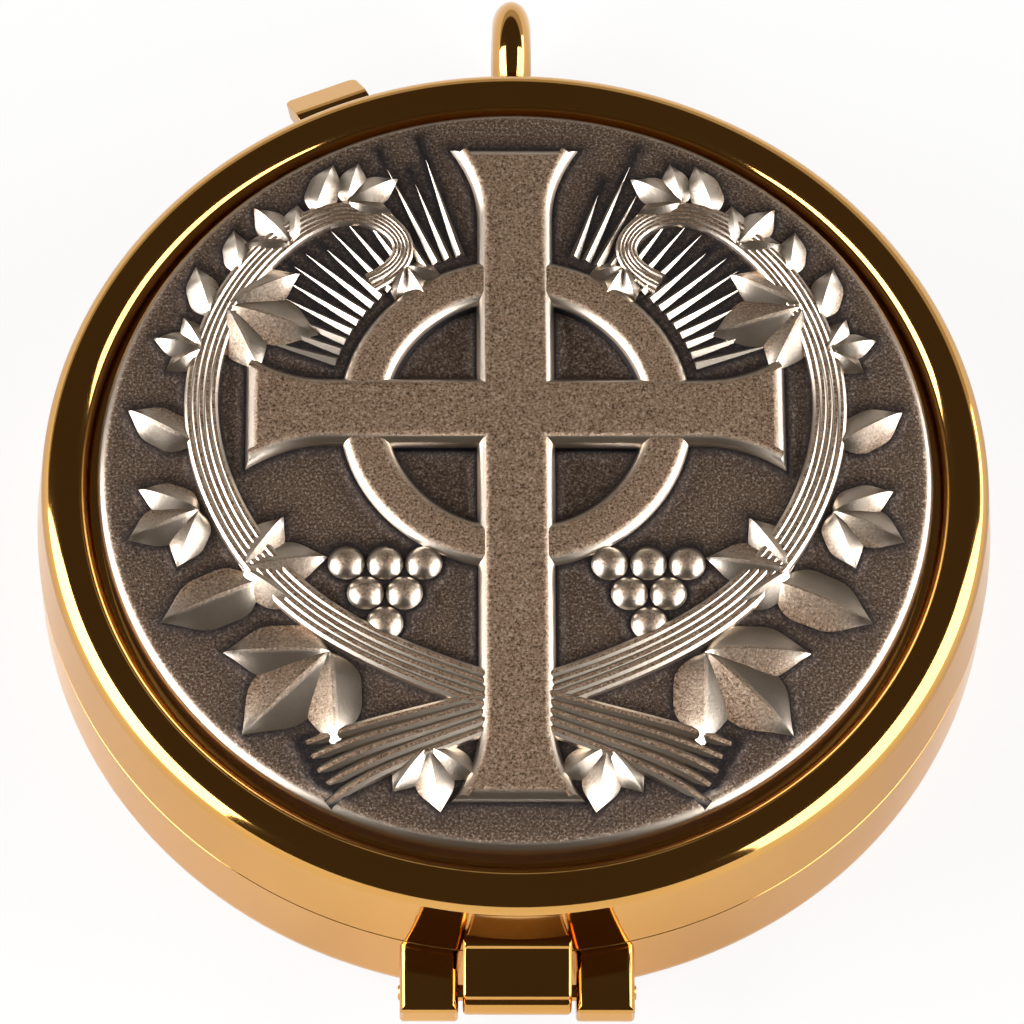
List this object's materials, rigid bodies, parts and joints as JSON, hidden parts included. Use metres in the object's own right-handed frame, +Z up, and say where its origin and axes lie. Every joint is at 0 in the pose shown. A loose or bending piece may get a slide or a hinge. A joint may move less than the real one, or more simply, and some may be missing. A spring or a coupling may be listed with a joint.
{
  "type": "pyx",
  "caption": "Shallow round hinged metal case with a relief medallion in the lid, a thumb tab and a cord loop, for carrying small altar breads.",
  "frame": {"origin": "centre of the flat underside, on the axis of the round case", "axes": "+Z up through the lid, +Y towards the cord loop, -Y towards the hinge, +X along the hinge pin"},
  "size_m": [0.054, 0.0654, 0.0131],
  "materials": {
    "gilt": "polished gold plate on brass",
    "pewter": "antiqued cast pewter, polished on its ridges"
  },
  "bodies": {
    "base": {"base_shell": "gilt", "base_collar": "gilt", "hinge_lug_left": "gilt", "hinge_lug_right": "gilt", "hinge_pin": "gilt", "cord_loop": "gilt"},
    "lid": {"lid_shell": "gilt", "medallion": "pewter", "lid_hinge_leaf": "gilt", "thumb_tab": "gilt"}
  },
  "joints": [
    {"name": "lid_hinge", "type": "hinge", "parent": "base", "child": "lid", "pos_m": [0, -0.02875, 0.00525], "axis": [1, 0, 0], "range_deg": [0, 150]}
  ]
}
